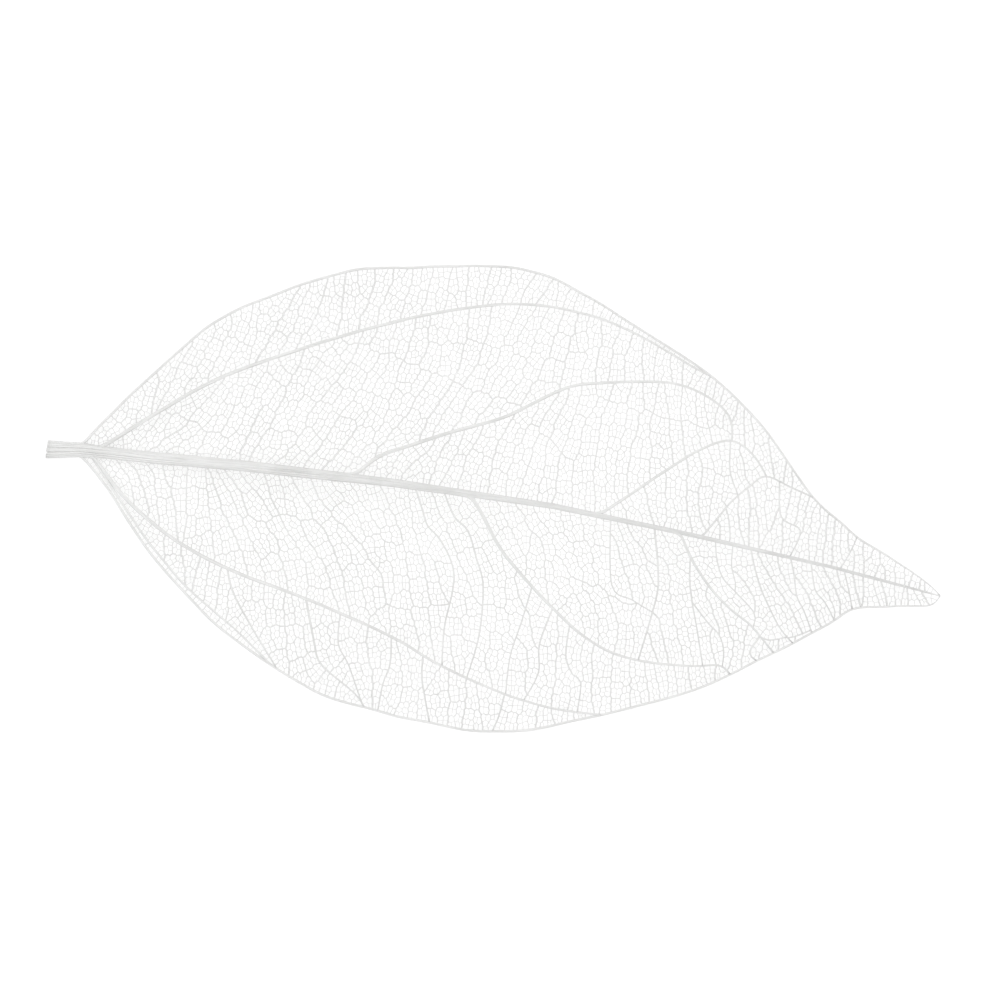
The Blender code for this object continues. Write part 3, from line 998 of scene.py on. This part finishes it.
def mesh_object(name, solid):
    """An object in the scene from a shape drawn in mm."""
    bmesh.ops.scale(solid, verts=solid.verts, vec=(MM, MM, MM))
    mesh = bpy.data.meshes.new(name)
    solid.to_mesh(mesh)
    solid.free()
    mesh.shade_smooth()
    return placed(name, mesh)


def add_tube(solid, path, sizes, sides, rng):
    """A closed tube along a path of places, with half its width and height at each of them. Its
    map runs along the fibre in u, in cm, and once round it in v, from a start of its own."""
    fibre = solid.loops.layers.uv["fibre"]
    map_start = rng.uniform(0, MAP_STARTS)
    rings = []
    lengths = []
    run = 0
    for index, (place, (half, tall)) in enumerate(zip(path, sizes)):
        before, after = path[max(index - 1, 0)], path[min(index + 1, len(path) - 1)]
        along = (after - before).normalized()
        aside = Vector((0, 0, 1)).cross(along).normalized()
        above = along.cross(aside)
        ring = []
        for side in range(sides):
            turn = math.tau * side / sides
            spot = place + aside * half * math.cos(turn) + above * tall * math.sin(turn)
            ring.append(solid.verts.new(spot))
        if index:
            run += (place - path[index - 1]).length / MM_IN_CM
        rings.append(ring)
        lengths.append(run)
    for index, (here, there) in enumerate(zip(rings, rings[1:])):
        for side in range(sides):
            after = (side + 1) % sides
            face = solid.faces.new((here[side], here[after], there[after], there[side]))
            spots = ((index, side), (index, side + 1), (index + 1, side + 1), (index + 1, side))
            for loop, (ring, step) in zip(face.loops, spots):
                loop[fibre].uv = (lengths[ring], map_start + step / sides)
    solid.faces.new(rings[0][::-1])
    solid.faces.new(rings[-1])


def midrib_place(x, turn, reach):
    """A place at a share of the midrib's section: turn 0 is its +Y side, a quarter turn its top."""
    half, tall = height_on(MIDRIB_WIDTH, x), height_on(MIDRIB_TALL, x)
    middle = height_on(MIDRIB, x)
    return Vector((x, middle + half * reach * math.cos(turn),
                   midrib_height(x) + tall * reach * math.sin(turn)))


def midrib_core(solid, rng):
    """The body of the midrib and stalk, a little inside its fibres."""
    count = round((LENGTH - RIB_START) / RIB_STEP)
    path, sizes = [], []
    for index in range(count + 1):
        x = RIB_START + (LENGTH - RIB_START) * index / count
        path.append(midrib_place(x, 0, 0))
        shrink = 1 - FIBRE_SHARE * FIBRE_SINK
        sizes.append((height_on(MIDRIB_WIDTH, x) * shrink, height_on(MIDRIB_TALL, x) * shrink))
    add_tube(solid, path, sizes, RIB_SIDES, rng)


def midrib_fibre(solid, turn, rng):
    """One fibre along the midrib's surface, which weaves a little from side to side."""
    start = RIB_START - rng.uniform(0, FRAY) * FOOT_FRAY
    end = LENGTH + rng.uniform(*TIP_FRAY) * FRAY
    count = round((end - start) / RIB_STEP)
    path, sizes = [], []
    for index in range(count + 1):
        x = start + (end - start) * index / count
        along, round_rib = x / FIBRE_WEAVE_SIZE, turn * FIBRE_APART
        sway = FIBRE_WEAVE * noise.noise(Vector((along, round_rib, SEED)))
        swell = 1 + FIBRE_SWELL * noise.noise(Vector((along, round_rib, SWELL_SEED)))
        size = FIBRE_SHARE * height_on(MIDRIB_TALL, x) * swell
        path.append(midrib_place(x, turn + sway, 1 - FIBRE_SHARE * FIBRE_SINK))
        sizes.append((size, size))
    add_tube(solid, path, sizes, FIBRE_SIDES, rng)


def midrib_object(rng):
    """The midrib and stalk: a core with fibres all round it."""
    solid = bmesh.new()
    solid.loops.layers.uv.new("fibre")
    midrib_core(solid, rng)
    for index in range(RIB_FIBRES):
        turn = math.tau * (index + rng.uniform(-FIBRE_JITTER, FIBRE_JITTER)) / RIB_FIBRES
        midrib_fibre(solid, turn, rng)
    return mesh_object("midrib", solid)


def vein_bundle(solid, path, lead, root, tip, rng):
    """The fibres of one side vein or margin, wound round each other along it."""
    start_turn = rng.uniform(0, math.tau)
    for strand in range(SIDE_FIBRES):
        places, sizes = [], []
        for index, place in enumerate(path):
            share = max(index - lead, 0) / (len(path) - lead)
            half = (root + (tip - root) * share) * height_on(TIP_TAPER, place.x) / 2
            if index < lead:
                half *= LEAD_SIZE + (1 - LEAD_SIZE) * index / lead
            turn = start_turn + math.tau * strand / SIDE_FIBRES + SIDE_TWIST * index * SIDE_STEP
            before, after = path[max(index - 1, 0)], path[min(index + 1, len(path) - 1)]
            along = (after - before).normalized()
            aside = Vector((-along.y, along.x, 0))
            spot = on_leaf(place)
            if index < lead:
                rise = midrib_height(place.x) + height_on(MIDRIB_TALL, place.x) * LEAD_RISE
                spot.z = rise + (spot.z - rise) * (index / lead) ** 2
            reach = half * FIBRE_REACH
            above = Vector((0, 0, reach * math.sin(turn)))
            places.append(spot + aside * reach * math.cos(turn) + above)
            sizes.append((half * FIBRE_SIZE, half * FIBRE_SIZE))
        add_tube(solid, places, sizes, SIDE_SIDES, rng)


def main_veins_object(name, main_veins, rng):
    """The fibres on one half blade's margin, side veins and branches."""
    solid = bmesh.new()
    solid.loops.layers.uv.new("fibre")
    for path, lead, root, tip in main_veins:
        vein_bundle(solid, path, lead, root, tip, rng)
    return mesh_object(name, solid)


def set_inputs(node, values):
    """Sets a node's sockets, by their names."""
    for name, value in values.items():
        node.inputs[name].default_value = value


def add_noise(nodes, scale, detail):
    """A noise texture at the given scale."""
    texture = nodes.new("ShaderNodeTexNoise")
    set_inputs(texture, {"Scale": scale, "Detail": detail})
    return texture


def add_greys(nodes, greys):
    """A ramp between two greys, from their places on it."""
    ramp = nodes.new("ShaderNodeValToRGB")
    for element, (place, grey) in zip(ramp.color_ramp.elements, greys):
        element.position = place
        element.color = grey
    return ramp


def vein_material():
    """Bleached vein: off-white, with duller patches, and fine streaks along the fibres."""
    material = bpy.data.materials.new("bleached_vein")
    material.use_nodes = True
    nodes, links = material.node_tree.nodes, material.node_tree.links
    shader = nodes["Principled BSDF"]
    set_inputs(shader, {
        "Roughness": VEIN_ROUGHNESS,
        "IOR": VEIN_IOR,
        "Subsurface Weight": VEIN_SCATTER,
        "Subsurface Radius": (1, 1, 1),
        "Subsurface Scale": SCATTER_DEPTH,
    })
    place = nodes.new("ShaderNodeTexCoord")
    patches = add_noise(nodes, PATCH_SCALE, PATCH_DETAIL)
    patch_greys = add_greys(nodes, PATCH_GREYS)
    links.new(place.outputs["Object"], patches.inputs["Vector"])
    links.new(patches.outputs["Fac"], patch_greys.inputs["Fac"])
    round_fibre = nodes.new("ShaderNodeUVMap")
    round_fibre.uv_map = "fibre"
    stretch = nodes.new("ShaderNodeMapping")
    set_inputs(stretch, {"Scale": STREAK_STRETCH})
    streaks = add_noise(nodes, 1, STREAK_DETAIL)
    streak_greys = add_greys(nodes, STREAK_GREYS)
    links.new(round_fibre.outputs["UV"], stretch.inputs["Vector"])
    links.new(stretch.outputs["Vector"], streaks.inputs["Vector"])
    links.new(streaks.outputs["Fac"], streak_greys.inputs["Fac"])
    blend = nodes.new("ShaderNodeVectorMath")
    blend.operation = "MULTIPLY"
    links.new(patch_greys.outputs["Color"], blend.inputs[0])
    links.new(streak_greys.outputs["Color"], blend.inputs[1])
    links.new(blend.outputs["Vector"], shader.inputs["Base Color"])
    grain = add_noise(nodes, GRAIN_SCALE, GRAIN_DETAIL)
    bump = nodes.new("ShaderNodeBump")
    set_inputs(bump, {"Strength": GRAIN_STRENGTH, "Distance": GRAIN_DEPTH})
    links.new(place.outputs["Object"], grain.inputs["Vector"])
    links.new(grain.outputs["Fac"], bump.inputs["Height"])
    links.new(bump.outputs["Normal"], shader.inputs["Normal"])
    return material


def add_floor():
    """A white floor that glows evenly, as a light table does."""
    mesh = bpy.data.meshes.new("floor")
    bm = bmesh.new()
    bmesh.ops.create_grid(bm, x_segments=1, y_segments=1, size=FLOOR_REACH)
    bm.to_mesh(mesh)
    bm.free()
    floor = placed("floor", mesh)
    material = bpy.data.materials.new("lit_white")
    material.use_nodes = True
    shader = material.node_tree.nodes["Principled BSDF"]
    set_inputs(shader, {
        "Base Color": FLOOR_GREY,
        "Roughness": FLOOR_ROUGHNESS,
        "Emission Color": (1, 1, 1, 1),
        "Emission Strength": FLOOR_GLOW,
    })
    mesh.materials.append(material)


def add_light():
    """Soft white light from all round, and a wide lamp overhead."""
    world = bpy.data.worlds.new("soft white")
    bpy.context.scene.world = world
    world.use_nodes = True
    backdrop = world.node_tree.nodes["Background"]
    set_inputs(backdrop, {"Color": (1, 1, 1, 1), "Strength": WORLD_LIGHT})
    lamp = bpy.data.lights.new("overhead", "AREA")
    lamp.shape = "DISK"
    lamp.size = LAMP_SIZE
    lamp.energy = LAMP_POWER
    holder = placed("overhead", lamp)
    holder.location = (VIEW_CENTRE[0] + LAMP_SHIFT[0], VIEW_CENTRE[1] + LAMP_SHIFT[1], LAMP_HEIGHT)


def add_camera():
    """A camera straight over the leaf."""
    data = bpy.data.cameras.new("camera")
    data.lens = LENS
    data.sensor_width = SENSOR
    data.clip_start = NEAREST_VIEW
    camera = placed("camera", data)
    distance = VIEW_WIDTH * LENS / SENSOR
    camera.location = (VIEW_CENTRE[0], VIEW_CENTRE[1], distance)
    camera.rotation_euler = (0, 0, math.radians(VIEW_TILT))
    bpy.context.scene.camera = camera
    bpy.context.scene.view_settings.view_transform = "Standard"


def main():
    """The dressed leaf on its floor, lit and seen from above."""
    rng = random.Random(SEED)
    material = vein_material()
    pieces = [midrib_object(rng)]
    for name, margin, side in (("upper", UPPER_MARGIN, 1), ("lower", LOWER_MARGIN, -1)):
        flat, main_veins = flat_net(margin, side, rng)
        pieces.append(net_object(name + "_net", flat, rng))
        pieces.append(main_veins_object(name + "_main_veins", main_veins, rng))
    for piece in pieces:
        piece.data.materials.append(material)
        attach(piece, BODY)
        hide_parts(NODE)
    add_floor()
    add_light()
    add_camera()


main()
